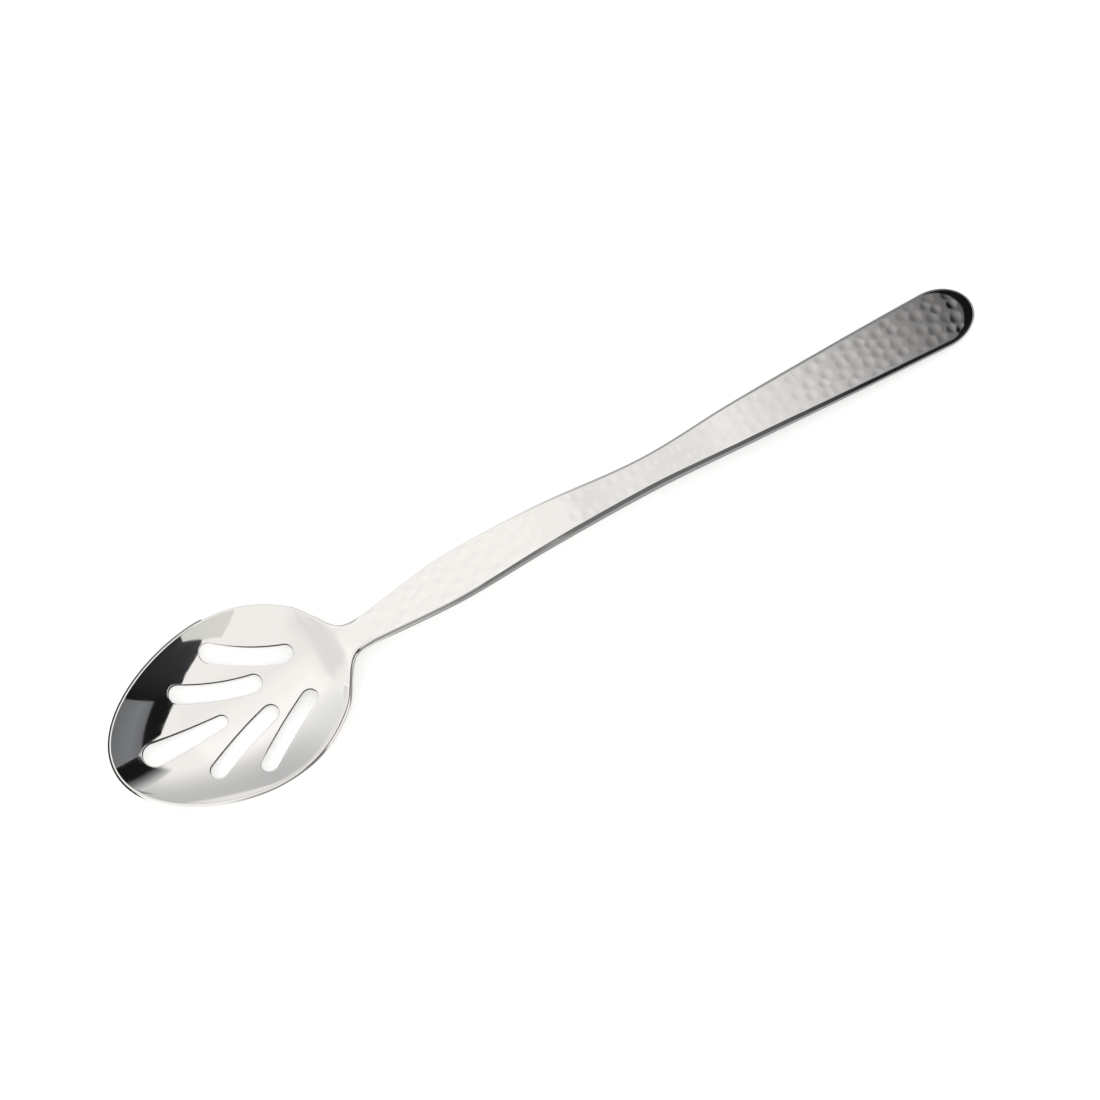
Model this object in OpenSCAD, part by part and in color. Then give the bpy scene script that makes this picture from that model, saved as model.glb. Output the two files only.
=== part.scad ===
// Slotted serving spoon with a hollow hammered handle, all in millimetres.
// X runs from the bowl tip to the handle end, Z is up from the table.
// The origin is under the middle of the spoon, on the table.

/* [Overall] */
// Length from the bowl tip to the handle end
overall_length = 340; // [320:1:360]

/* [Bowl] */
// Length from the tip to the root of the neck
bowl_length = 90.6; // [86:0.2:96]
// Width over the rim
bowl_width = 65; // [60:0.5:72]
// Depth inside, from the rim to the floor
bowl_depth = 11.5; // [9:0.5:15]
// Thickness of the pressed sheet
sheet = 2; // [1.6:0.1:2.4]
// Height that the rim rises from its lowest point to the neck
rim_rise = 4.6; // [3.5:0.1:6]
// Distance from the tip to the widest place
widest_x = 47.6; // [44:0.2:50]
// Distance from the tip to the deepest place
deep_x = 46.4; // [43:0.2:49]

/* [Slots] */
// Length of each slot
slot_length = 31.9; // [26:0.1:33]
// Width of the four side slots
slot_width = 6.3; // [5.4:0.1:6.6]
// Sideways bow of the side slots towards the middle
slot_bow = 0.8; // [0:0.1:1.2]
// Width of the centre slot at its tip end
centre_slot_wide = 8.6; // [7:0.1:9.5]
// Width of the centre slot at its neck end
centre_slot_narrow = 4.8; // [4.6:0.1:6]
// Distance from the tip to the start of the centre slot
centre_slot_from = 10.7; // [9:0.1:12]
// Middle of an inner side slot, measured from the tip
inner_slot_at = 43; // [41:0.2:45]
// Middle of an inner side slot, measured from the centre line
inner_slot_off = 10.5; // [10:0.1:11.5]
// Angle of an inner side slot to the centre line
inner_slot_turn = 20.5; // [18:0.5:23]
// Middle of an outer side slot, measured from the tip
outer_slot_at = 57.9; // [56:0.2:60]
// Middle of an outer side slot, measured from the centre line
outer_slot_off = 15.3; // [15:0.1:16.5]
// Angle of an outer side slot to the centre line
outer_slot_turn = 30.4; // [28:0.5:33]

/* [Handle] */
// Width at the neck, where the bowl is welded on
neck_width = 11; // [10.4:0.1:13]
// Width at the first swelling
bulge_width = 17.2; // [16:0.1:20]
// Width at the waist
waist_width = 11.6; // [11:0.1:14]
// Width where the rounded end begins
end_width = 21.3; // [19:0.1:24]
// Distance from the neck to the first swelling
bulge_at = 33; // [28:1:38]
// Distance from the neck to the top of the arch
crest_at = 68; // [62:1:76]
// Distance from the neck to the waist
waist_at = 111; // [104:1:118]
// Thickness at the neck
neck_thick = 5; // [4.6:0.1:6]
// Thickness at the waist
waist_thick = 8.9; // [7:0.1:10]
// Thickness at the end
end_thick = 5.6; // [5:0.1:6.6]
// Height of the top of the arch above the table
arch_height = 24.2; // [21.6:0.2:26.6]
// Height of the top of the waist above the table
waist_height = 16.6; // [14.6:0.2:18.2]
// Wall of the two handle shells
wall = 0.9; // [0.7:0.05:1]
// Largest rounding of the edge along the hammered face
edge_round = 2.6; // [2:0.1:3]

/* [Hammering] */
// Spacing of the hammer marks along the handle
mark_pitch = 4.7; // [4.2:0.1:5.6]
// Depth of a hammer mark
mark_depth = 0.08; // [0.04:0.01:0.2]
// Plain margin between the marks and the edge
mark_margin = 1.7; // [1:0.1:2.4]

/* [Joints] */
// Gap left between pieces for the weld
weld_gap = 0.04; // [0.02:0.01:0.1]
// Room around the bowl tang inside the handle
tang_clear = 0.25; // [0.15:0.05:0.4]
// Length of the tang inside the handle
tang_length = 16; // [10:1:24]

/* [Hidden] */
steel = [0.80, 0.81, 0.82];
$fn = 32;

function unit(v) = v / norm(v);
function mix(a, b, t) = a + (b - a) * t;
function back(list) = [for (i = [len(list) - 1 : -1 : 0]) list[i]];
function soft(v, k) = v / k > 30 ? v : k * ln(1 + exp(v / k));

// Neck joint and handle length, measured from the bowl tip
neck_run = 6;
neck_x = bowl_length + neck_run;
handle_length = overall_length - neck_x;

// Dish of the bowl below its rim, deepest at one place and easing out at the neck
tip_x = 1.17;
dish_power = 2.3;
dish_soft = 1;
dish_short = 1;
dish_run = bowl_length - dish_short - deep_x;
function dish_front(x) = bowl_depth * (1 - pow((deep_x - x) / (deep_x - tip_x), dish_power));
function dish_back(x) = soft(bowl_depth * (1 - pow((x - deep_x) / dish_run, dish_power)), dish_soft);
function dish(x) = x < deep_x ? dish_front(x) : dish_back(x);

// Rim height: a shallow valley, lowest near the tip and rising to the neck.
// The lowest place of the under side stands on the table.
rim_low_x = 25.5;
function rise(x) = rim_rise * pow((x - rim_low_x) / (neck_x - rim_low_x), 2);
rim_low = sheet - min([for (x = [tip_x : 0.5 : bowl_length]) rise(x) - dish(x)]);
function rim_z(x) = rim_low + rise(x);

// Plan of the inner rim line: a power curve each way from the widest place
rim_face = 1.3;
front_power = 1.68;
back_power = 2.36;
neck_soft = 2;
half_bowl = bowl_width / 2 - rim_face;
half_neck = neck_width / 2;
function half_front(x) = half_bowl * sqrt(1 - pow((widest_x - x) / (widest_x - tip_x), front_power));
function half_back(x) = let (t = (x - widest_x) / (bowl_length - widest_x))
    half_neck + soft((half_bowl - half_neck) * (1 - pow(t, back_power)), neck_soft);
function half_rim(x) = x < widest_x ? half_front(x) : half_back(x);

// Floor of the bowl and its slope
function floor_z(x, y) = rim_z(x) - dish(x) * (1 - pow(abs(y) / half_rim(x), dish_power));
eps = 0.02;
function floor_normal(x, y) = unit([
    (floor_z(x - eps, y) - floor_z(x + eps, y)) / (2 * eps),
    (floor_z(x, y - eps) - floor_z(x, y + eps)) / (2 * eps),
    1]);

// Smooth curve through stations: each slope comes from the neighbours on both sides
function slope(xs, fs, i) = let (a = max(i - 1, 0), b = min(i + 1, len(xs) - 1))
    (fs[b] - fs[a]) / (xs[b] - xs[a]);
function span(xs, x) = max(min(len([for (v = xs) if (v <= x) v]), len(xs) - 1) - 1, 0);
function curve(xs, fs, x) = let (
        i = span(xs, x),
        h = xs[i + 1] - xs[i],
        t = (x - xs[i]) / h,
        m0 = slope(xs, fs, i) * h,
        m1 = slope(xs, fs, i + 1) * h)
    fs[i] * (1 + 2 * t) * pow(1 - t, 2) + m0 * t * pow(1 - t, 2)
    + fs[i + 1] * t * t * (3 - 2 * t) + m1 * t * t * (t - 1);

// Handle stations: neck, bulge, crest, waist, flare, palm, end
flare_at = mix(waist_at, handle_length, 0.28);
palm_at = mix(waist_at, handle_length, 0.62);
station_x = [for (s = [0, bulge_at, crest_at, waist_at, flare_at, palm_at, handle_length]) neck_x + s];
half_bulge = bulge_width / 2;
half_waist = waist_width / 2;
half_end = end_width / 2;
station_half = [half_neck, half_bulge, mix(half_bulge, half_waist, 0.36), half_waist,
    mix(half_waist, half_end, 0.394), mix(half_waist, half_end, 0.778), half_end];
bulge_thick = mix(neck_thick, waist_thick, 0.37);
crest_thick = mix(neck_thick, waist_thick, 0.85);
flare_thick = mix(waist_thick, end_thick, 0.35);
palm_thick = mix(waist_thick, end_thick, 0.77);
station_thick = [neck_thick, bulge_thick, crest_thick, waist_thick, flare_thick, palm_thick, end_thick];
bulge_drop = 1;
end_drop = 0.4;
end_top = end_thick - end_drop;
station_top = [rim_z(neck_x), arch_height - bulge_drop, arch_height, waist_height,
    mix(waist_height, end_top, 0.14), mix(waist_height, end_top, 0.54), end_top];

// Rounded end in plan
end_round = 15;
end_x = overall_length - end_round;
width_x = [for (x = station_x) min(x, end_x)];
function end_share(x) = max(0, (x - end_x) / end_round);
function fall(x) = sqrt(max(0, 1 - pow(end_share(x), 2)));
function half_thick(x) = curve(station_x, station_thick, x) / 2;
function half_handle(x) = curve(width_x, station_half, min(x, end_x)) * fall(x);
function seam_z(x) = curve(station_x, station_top, x) - half_thick(x);

// Edge of the hammered face: a quarter round, wider and deeper where it runs round the nose.
// Past the start of the end, the distance from the outline comes from the ellipse of the end.
nose = 5;
nose_deep = 0.9;
edge_share = 0.8;
function edge_at(x) = min(edge_round, edge_share * half_thick(x), half_handle(x) * 0.4);
function flat_half(x) = half_handle(x) - edge_at(x);
function edge_drop(gap, wide, deep) = deep * (1 - sqrt(1 - pow(1 - min(1, max(0, gap) / wide), 2)));
function end_drop_at(x, t, v) = let (
        ring = norm([t, v]),
        gap = (1 - ring) * ring / norm([t / end_round, v / half_end]),
        turn = pow(t / ring, 2))
    edge_drop(gap, mix(edge_at(end_x), nose, turn), mix(edge_at(end_x), nose_deep * half_thick(x), turn));
function face_z(x, y) = seam_z(x) + half_thick(x) - (x <= end_x
    ? edge_drop(half_handle(x) - abs(y), edge_at(x), edge_at(x))
    : end_drop_at(x, end_share(x), abs(y) / half_end));

// Hammer marks: staggered rows, each mark moved and sized by a repeatable scatter
marks_after_neck = 5;
marks_before_end = 5;
marks_from = neck_x + marks_after_neck;
mark_rows = floor((overall_length - marks_before_end - marks_from) / mark_pitch);
function scatter(n) = let (v = sin(n * 127.1) * 43758.5453) v - floor(v);
function row_x(r) = marks_from + r * mark_pitch;
function row_half(r) = max(flat_half(row_x(r)) - mark_margin, mark_pitch / 4);
function row_count(r) = max(2, floor(2 * row_half(r) / mark_pitch + 1.2));
function mark_at(r, c) = let (
        seed = r * 17 + c,
        n = row_count(r),
        lean = (r % 2 == 0 ? 0.5 : -0.5) * row_half(r) / n,
        y = row_half(r) * (2 * c / (n - 1) - 1) * 0.92 + lean)
    [row_x(r) + (scatter(seed) - 0.5) * mark_pitch * 0.6,
     y + (scatter(seed + 0.3) - 0.5) * mark_pitch * 0.4,
     mark_pitch * (0.42 + 0.14 * scatter(seed + 0.6))];
mark_list = [for (r = [0 : mark_rows - 1]) [for (c = [0 : row_count(r) - 1]) mark_at(r, c)]];
function dent(x, y, m) = 1 - (pow(x - m[0], 2) + pow(y - m[1], 2)) / (m[2] * m[2]);
function mark(x, y) = let (
        r = round((x - marks_from) / mark_pitch),
        near = [for (k = [max(r - 1, 0) : 1 : min(r + 1, mark_rows - 1)], m = mark_list[k]) dent(x, y, m)])
    mark_depth * max(concat([0], near));

// Handle profile at one station, as Y and Z pairs: over the top, and under the belly
flat_steps = 15;
edge_angles = [0, 30, 60];
function edge_line(x) = concat([[half_handle(x), seam_z(x)]],
    [for (a = edge_angles) let (y = flat_half(x) + edge_at(x) * cos(a)) [y, face_z(x, y)]]);
function flat_line(x) = [for (k = [0 : flat_steps]) let (y = flat_half(x) * (2 * k / flat_steps - 1))
    [y, face_z(x, y) - mark(x, y)]];
function upper_line(x) = concat([for (p = edge_line(x)) [-p[0], p[1]]], flat_line(x), back(edge_line(x)));
upper_points = flat_steps + 1 + 2 * (len(edge_angles) + 1);
belly_steps = 11;
belly_power = 0.6;
function half_belly(x) = half_thick(x) * pow(fall(x), belly_power);
function lower_line(x) = [for (k = [0 : belly_steps]) let (a = 180 * k / belly_steps)
    [half_handle(x) * cos(a), seam_z(x) - half_belly(x) * pow(abs(sin(a)), belly_power)]];

// Inside of a shell; it stops short of the nose, where the two shells are solid
nose_solid = 6;
hollow_to = overall_length - nose_solid;
function hollow_line(x, up) = let (
        w = max(half_handle(x) - wall, half_handle(x) * 0.5),
        f = max(flat_half(x) - wall, w * 0.6) * (up > 0 ? 1 : 0.85),
        h = x < hollow_to ? (up > 0 ? half_thick(x) : half_belly(x)) - wall - mark_depth / 2 : 0)
    [[w, seam_z(x)], [f, seam_z(x) + up * h], [-f, seam_z(x) + up * h], [-w, seam_z(x)]];
function at_station(x, line) = [for (p = line) [x, p[0], p[1]]];

// Stations along the handle: an even run, then closer and closer round the end
handle_steps = 120;
end_steps = 12;
tip_cut = 0.1;
joint_x = neck_x + weld_gap;
function handle_stations(steps) = concat(
    [for (i = [0 : steps]) mix(joint_x, end_x, i / steps)],
    [for (i = [1 : end_steps]) end_x + (end_round - tip_cut) * sin(90 * i / end_steps)]);

// Solid through rings of points: an outer line one way, then an inner line back.
// The end faces are strips of triangles between the two lines.
module skin(rings, outer) {
    n = len(rings[0]);
    inner = n - outer;
    last = (len(rings) - 1) * n;
    sides = [for (i = [0 : len(rings) - 2], j = [0 : n - 1]) let (a = i * n + j, b = i * n + (j + 1) % n)
        each [[a, b, a + n], [b, b + n, a + n]]];
    partner = [for (j = [0 : outer - 1]) round(j * (inner - 1) / (outer - 1))];
    near_end = [for (j = [0 : outer - 2]) let (p = n - 1 - partner[j]) each concat(
        [[j, p, j + 1]],
        partner[j + 1] > partner[j] ? [[j + 1, p, p - 1]] : [])];
    far_end = [for (f = near_end) [f[0] + last, f[2] + last, f[1] + last]];
    polyhedron([for (r = rings) each r], concat(sides, near_end, far_end), convexity = 8);
}

// Bowl ring: plain sheet in the bowl, swelling to the handle profile at the neck
bowl_steps = 22;
swell_run = 18.6;
mouth_half = neck_thick / 2;
mouth_edge = edge_at(neck_x);
function mouth_top(v) = mouth_half - edge_drop(half_neck * (1 - abs(v)), mouth_edge, mouth_edge);
function mouth_under(v) = mouth_half * pow(max(0, 1 - v * v), belly_power / 2);
function swell(x) = let (t = min(1, max(0, 1 - (neck_x - x) / swell_run))) t * t * (3 - 2 * t);
function bowl_top(x, v) = [x, v * half_rim(x), floor_z(x, v * half_rim(x))];
function bowl_under(x, v) = let (p = bowl_top(x, v)) p - sheet * floor_normal(p[0], p[1]);
function neck_top(x, v) = [x, v * half_neck, rim_z(x) - mouth_half + mouth_top(v)];
function neck_under(x, v) = [x, v * half_neck, rim_z(x) - mouth_half - mouth_under(v) - weld_gap];
function across() = [for (j = [0 : bowl_steps]) 2 * j / bowl_steps - 1];
function bowl_ring(x) = concat(
    [for (v = across()) mix(bowl_top(x, v), neck_top(x, v), swell(x))],
    [for (v = back(across())) mix(bowl_under(x, v), neck_under(x, v), swell(x))]);
front_steps = 14;
back_steps = 30;
tip_start = 0.03;
front_run = 12;
function bowl_stations() = concat(
    [for (i = [0 : front_steps - 1]) mix(tip_x + tip_start, front_run, pow(i / front_steps, 2))],
    [for (i = [0 : back_steps]) mix(front_run, neck_x, i / back_steps)]);

// One slot: a plan outline along a bowed centre line, cut straight down
slot_beads = 6;
slot_over = 5;
centre_slot_short = 1;
slot_cut = bowl_depth + sheet + rim_rise + 2 * slot_over;
module slot(a, b, wide, narrow, bow) {
    along = unit(b - a);
    from = a + along * wide / 2;
    to = b - along * narrow / 2;
    share = [for (i = [0 : slot_beads]) i / slot_beads];
    spots = [for (t = share) mix(from, to, t) - [0, bow * 4 * t * (1 - t)]];
    normals = [for (t = share) let (d = unit(to - from - [0, bow * (4 - 8 * t)])) [-d[1], d[0]]];
    halves = [for (t = share) mix(wide, narrow, t) / 2];
    left = [for (i = [0 : slot_beads]) spots[i] + halves[i] * normals[i]];
    right = [for (i = [0 : slot_beads]) spots[i] - halves[i] * normals[i]];
    translate([0, 0, -slot_over]) linear_extrude(slot_cut) {
        polygon(concat(left, back(right)));
        translate(from) circle(wide / 2);
        translate(to) circle(narrow / 2);
    }
}
module side_slot(at, off, turn) {
    reach = slot_length / 2 * [cos(turn), -sin(turn)];
    slot([at, off] - reach, [at, off] + reach, slot_width, slot_width, slot_bow);
}
module slots() {
    centre_end = centre_slot_from + slot_length - centre_slot_short;
    slot([centre_slot_from, 0], [centre_end, 0], centre_slot_wide, centre_slot_narrow, 0);
    for (side = [0, 1]) mirror([0, side, 0]) {
        side_slot(inner_slot_at, inner_slot_off, inner_slot_turn);
        side_slot(outer_slot_at, outer_slot_off, outer_slot_turn);
    }
}

// Tang that goes into the handle mouth
tang_wide = neck_width - 2 * (mouth_edge + wall + tang_clear);
tang_thick = neck_thick - 2 * (wall + tang_clear) - mark_depth;
tang_root = 4;
tang_tilt = atan(seam_z(neck_x + 1) - seam_z(neck_x));
module tang() {
    translate([neck_x, 0, seam_z(neck_x)]) rotate([0, -tang_tilt, 0])
        translate([-tang_root, -tang_wide / 2, -tang_thick / 2])
            cube([tang_root + tang_length, tang_wide, tang_thick]);
}

// Origin under the middle of the spoon
module placed() {
    translate([-overall_length / 2, 0, 0]) children();
}

// Pressed bowl with its slots, neck and tang
module slotted_bowl() {
    color(steel) placed() {
        difference() {
            skin([for (x = bowl_stations()) bowl_ring(x)], bowl_steps + 1);
            slots();
        }
        tang();
    }
}

// Upper handle shell with the hammered face
module handle_top_shell() {
    color(steel) placed() skin([for (x = handle_stations(handle_steps))
        at_station(x, concat(upper_line(x), hollow_line(x, 1)))], upper_points);
}

// Lower handle shell, welded to the upper one along the seam
module handle_bottom_shell() {
    color(steel) placed() translate([0, 0, -weld_gap])
        skin([for (x = handle_stations(handle_steps / 3))
            at_station(x, concat(lower_line(x), back(hollow_line(x, -1))))], belly_steps + 1);
}

slotted_bowl();
handle_top_shell();
handle_bottom_shell();
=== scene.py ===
"""Looks of a slotted serving spoon in polished and hammered stainless steel.

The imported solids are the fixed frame. Each of them is stood for by a finer surface that follows
the same formulas, in millimetres from the bowl tip, with rounded rims, eased slot edges and the
hammer marks as real relief. Meshes are written in metres, in the part's own frame.
"""

import logging
from dataclasses import dataclass, field
from enum import Enum

import bpy
import numpy as np
from mathutils import Matrix
from mathutils.geometry import delaunay_2d_cdt


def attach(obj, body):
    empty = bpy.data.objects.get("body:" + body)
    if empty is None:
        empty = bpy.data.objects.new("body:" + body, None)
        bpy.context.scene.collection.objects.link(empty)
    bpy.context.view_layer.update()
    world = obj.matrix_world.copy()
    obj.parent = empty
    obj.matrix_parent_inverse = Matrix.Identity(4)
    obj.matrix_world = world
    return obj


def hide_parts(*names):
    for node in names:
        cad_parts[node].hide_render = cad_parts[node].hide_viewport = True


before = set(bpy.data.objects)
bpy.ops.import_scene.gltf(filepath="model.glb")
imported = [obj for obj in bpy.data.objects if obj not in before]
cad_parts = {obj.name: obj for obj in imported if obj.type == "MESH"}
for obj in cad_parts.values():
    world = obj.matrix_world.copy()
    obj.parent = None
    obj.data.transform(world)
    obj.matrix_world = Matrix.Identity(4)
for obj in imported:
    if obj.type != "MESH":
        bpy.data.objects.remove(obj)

LOG = logging.getLogger("spoon")
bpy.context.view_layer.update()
OVERALL = 340.0
MM = 0.001
TINY = 1e-6
Array = np.ndarray
Corner = tuple[float, float, float]
Corners = tuple[Corner, ...]


class ShellSide(Enum):
    """Which half of the hollow handle a shell is."""

    UPPER = "handle_top_shell"
    LOWER = "handle_bottom_shell"


def mix(low: Array, high: Array, share: Array) -> Array:
    """Straight blend from low to high."""
    return low + (high - low) * share


def unit(vectors: Array) -> Array:
    """Rows scaled to length one."""
    return vectors / np.maximum(np.linalg.norm(vectors, axis=-1, keepdims=True), 1e-12)


def soft_floor(value: Array, width: float) -> Array:
    """Zero below zero and the value above it, with a bend of the given width: w ln(1 + e^(v/w))."""
    return width * np.logaddexp(0.0, value / width)


def smooth_step(share: Array) -> Array:
    """Ease from 0 to 1: t t (3 - 2 t)."""
    share = np.clip(share, 0.0, 1.0)
    return share * share * (3.0 - 2.0 * share)


def edge_drop(gap: Array, wide: Array, deep: Array, power: Array) -> Array:
    """Fall of an eased edge below its face at a distance from the outline: d (1 - (1 - s^p)^(1/p)).

    Args:
        gap: Distance from the outline.
        wide: Distance over which the edge is eased.
        deep: Fall at the outline itself.
        power: Exponent p: 2 is a quarter round, and nearer 1 is a bevel.

    Returns:
        The fall, with s running from 1 at the outline to 0 where the easing ends.
    """
    share = 1.0 - np.clip(gap / wide, 0.0, 1.0)
    return deep * (1.0 - np.clip(1.0 - share**power, 0.0, 1.0) ** (1.0 / power))


def grid_normals(points: Array) -> Array:
    """Normals of a grid of points, as the cross product of its two tangents.

    Args:
        points: Array of shape (rows, columns, 3).

    Returns:
        Unit normals of the same shape, on the side of row tangent x column tangent.
    """
    return unit(np.cross(np.gradient(points, axis=0), np.gradient(points, axis=1)))


def even_line(points: Array, step: float, closed: bool) -> Array:
    """A polyline resampled at an even spacing along its length.

    Args:
        points: Array of shape (n, 2).
        step: Spacing wanted, in millimetres.
        closed: Whether the last point joins the first.

    Returns:
        Resampled points; a closed line doesn't repeat its first point.
    """
    line = np.vstack([points, points[:1]]) if closed else points
    run = np.concatenate([[0.0], np.cumsum(np.linalg.norm(np.diff(line, axis=0), axis=1))])
    count = max(8, int(round(run[-1] / step)))
    at = np.linspace(0.0, run[-1], count + 1)
    even = np.column_stack([np.interp(at, run, line[:, 0]), np.interp(at, run, line[:, 1])])
    return even[:-1] if closed else even


def line_outward(points: Array, closed: bool) -> Array:
    """Outward plan normals (dy, -dx) of a line that runs anticlockwise.

    Args:
        points: Array of shape (n, 2).
        closed: Whether the last point joins the first.

    Returns:
        Unit normals of the same shape.
    """
    if closed:
        along = np.roll(points, -1, axis=0) - np.roll(points, 1, axis=0)
    else:
        along = np.gradient(points, axis=0)
    return unit(np.column_stack([along[:, 1], -along[:, 0]]))


@dataclass
class MeshDraft:
    """Vertices, faces and corner normals of one piece, gathered as arrays in millimetres."""

    points: list[Array] = field(default_factory=list)
    normals: list[Array] = field(default_factory=list)
    faces: list[tuple[Array, bool]] = field(default_factory=list)
    count: int = 0

    def add_points(self, points: Array, normals: Array) -> Array:
        """Adds points with their normals.

        Args:
            points: Array of shape (..., 3), x measured from the bowl tip.
            normals: Array of the same shape.

        Returns:
            Vertex numbers, in the shape of the points.
        """
        shape = points.shape[:-1]
        flat = points.reshape(-1, 3)
        numbers = np.arange(self.count, self.count + len(flat)).reshape(shape)
        self.points.append(flat)
        self.normals.append(normals.reshape(-1, 3))
        self.count += len(flat)
        return numbers

    def add_faces(self, corners: Array, hard: bool = False) -> None:
        """Adds triangles or quads by vertex number; hard faces are shaded flat."""
        if len(corners):
            self.faces.append((corners, hard))

    def add_strip(
        self, numbers: Array, closed: bool, flip: bool = False, hard: bool = False
    ) -> None:
        """Quads between neighbouring rows and columns of a block of vertex numbers.

        Args:
            numbers: Array of shape (rows, columns).
            closed: Whether the last column joins the first.
            flip: Whether the faces are turned round.
            hard: Whether the faces are shaded flat.
        """
        after = np.roll(numbers, -1, axis=1) if closed else numbers[:, 1:]
        here = numbers if closed else numbers[:, :-1]
        quads = np.stack([here[:-1], here[1:], after[1:], after[:-1]], axis=-1).reshape(-1, 4)
        self.add_faces(quads[:, ::-1] if flip else quads, hard)

    def piece(self, name: str) -> bpy.types.Object:
        """Writes the mesh with its corner normals and links it to the scene.

        Args:
            name: Name of the new object.

        Returns:
            The object, at the origin, with its place in its mesh.
        """
        points = np.concatenate(self.points)
        normals = np.concatenate(self.normals)
        corner_lists, starts, corner_normals, begin = [], [], [], 0
        for corners, hard in self.faces:
            sides = corners.shape[1]
            starts.append(begin + sides * np.arange(len(corners)))
            corner_lists.append(corners.reshape(-1))
            begin += corners.size
            if hard:
                ring = points[corners]
                flat = unit(np.cross(ring[:, 1] - ring[:, 0], ring[:, 2] - ring[:, 0]))
                corner_normals.append(np.repeat(flat, sides, axis=0))
            else:
                corner_normals.append(normals[corners.reshape(-1)])
        corner_ids = np.concatenate(corner_lists).astype(np.int32)
        face_starts = np.concatenate(starts).astype(np.int32)
        mesh = bpy.data.meshes.new(name)
        mesh.vertices.add(len(points))
        placed = (points - np.array([OVERALL / 2.0, 0.0, 0.0])) * MM
        mesh.vertices.foreach_set("co", placed.astype(np.float32).ravel())
        mesh.loops.add(len(corner_ids))
        mesh.loops.foreach_set("vertex_index", corner_ids)
        mesh.polygons.add(len(face_starts))
        mesh.polygons.foreach_set("loop_start", face_starts)
        mesh.polygons.foreach_set("use_smooth", np.ones(len(face_starts), dtype=bool))
        mesh.update(calc_edges=True)
        mesh.normals_split_custom_set(np.concatenate(corner_normals).tolist())
        made = bpy.data.objects.new(name, mesh)
        bpy.context.scene.collection.objects.link(made)
        return made


@dataclass(frozen=True)
class SteelFinish:
    """A stainless steel finish: mirror polish with faint lengthwise buffing marks."""

    name: str
    colour: tuple[float, float, float, float]
    smooth_roughness: float
    worn_roughness: float
    buff_scale: tuple[float, float, float]
    ripple: float
    buff_range: tuple[float, float] = (0.35, 0.7)
    ripple_height: float = 0.00002

    def material(self) -> bpy.types.Material:
        """Makes the node material.

        Returns:
            A metal whose roughness follows stretched noise and whose surface has a faint ripple.
        """
        made = bpy.data.materials.new(self.name)
        made.use_nodes = True
        tree = made.node_tree
        shader = tree.nodes["Principled BSDF"]
        shader.inputs["Base Color"].default_value = self.colour
        shader.inputs["Metallic"].default_value = 1.0
        place = tree.nodes.new("ShaderNodeTexCoord")
        stretch = tree.nodes.new("ShaderNodeMapping")
        stretch.inputs["Scale"].default_value = self.buff_scale
        buffing = tree.nodes.new("ShaderNodeTexNoise")
        buffing.inputs["Scale"].default_value = 1.0
        buffing.inputs["Detail"].default_value = 4.0
        buffing.inputs["Roughness"].default_value = 0.6
        spread = tree.nodes.new("ShaderNodeMapRange")
        spread.inputs["From Min"].default_value = self.buff_range[0]
        spread.inputs["From Max"].default_value = self.buff_range[1]
        spread.inputs["To Min"].default_value = self.smooth_roughness
        spread.inputs["To Max"].default_value = self.worn_roughness
        bump = tree.nodes.new("ShaderNodeBump")
        bump.inputs["Strength"].default_value = self.ripple
        bump.inputs["Distance"].default_value = self.ripple_height
        tree.links.new(place.outputs["Object"], stretch.inputs["Vector"])
        tree.links.new(stretch.outputs["Vector"], buffing.inputs["Vector"])
        tree.links.new(buffing.outputs["Fac"], spread.inputs["Value"])
        tree.links.new(spread.outputs["Result"], shader.inputs["Roughness"])
        tree.links.new(buffing.outputs["Fac"], bump.inputs["Height"])
        tree.links.new(bump.outputs["Normal"], shader.inputs["Normal"])
        return made


STEEL = (0.87, 0.865, 0.855, 1.0)
POLISHED = SteelFinish("polished_steel", STEEL, 0.035, 0.085, (60.0, 420.0, 420.0), 0.04)
HAMMERED = SteelFinish("hammered_steel", STEEL, 0.05, 0.11, (90.0, 300.0, 300.0), 0.05)


@dataclass(frozen=True)
class NeckProfile:
    """Cross-section of the handle mouth, shared by the bowl's neck and the handle."""

    half_width: float = 5.5
    thick: float = 5.0
    bevel: float = 1.1
    bevel_power: float = 1.12
    belly_power: float = 0.6

    def top(self, share: Array) -> Array:
        """Height over the seam at a share of the half width: flat, then a bevel at the edge."""
        gap = self.half_width * (1.0 - np.abs(share))
        return self.thick / 2.0 - edge_drop(gap, self.bevel, self.bevel, self.bevel_power)

    def under(self, share: Array) -> Array:
        """Depth below the seam at a share of the half width: (1 - v v) to half the belly power."""
        return self.thick / 2.0 * np.clip(1.0 - share * share, 0.0, 1.0) ** (self.belly_power / 2.0)


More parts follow.
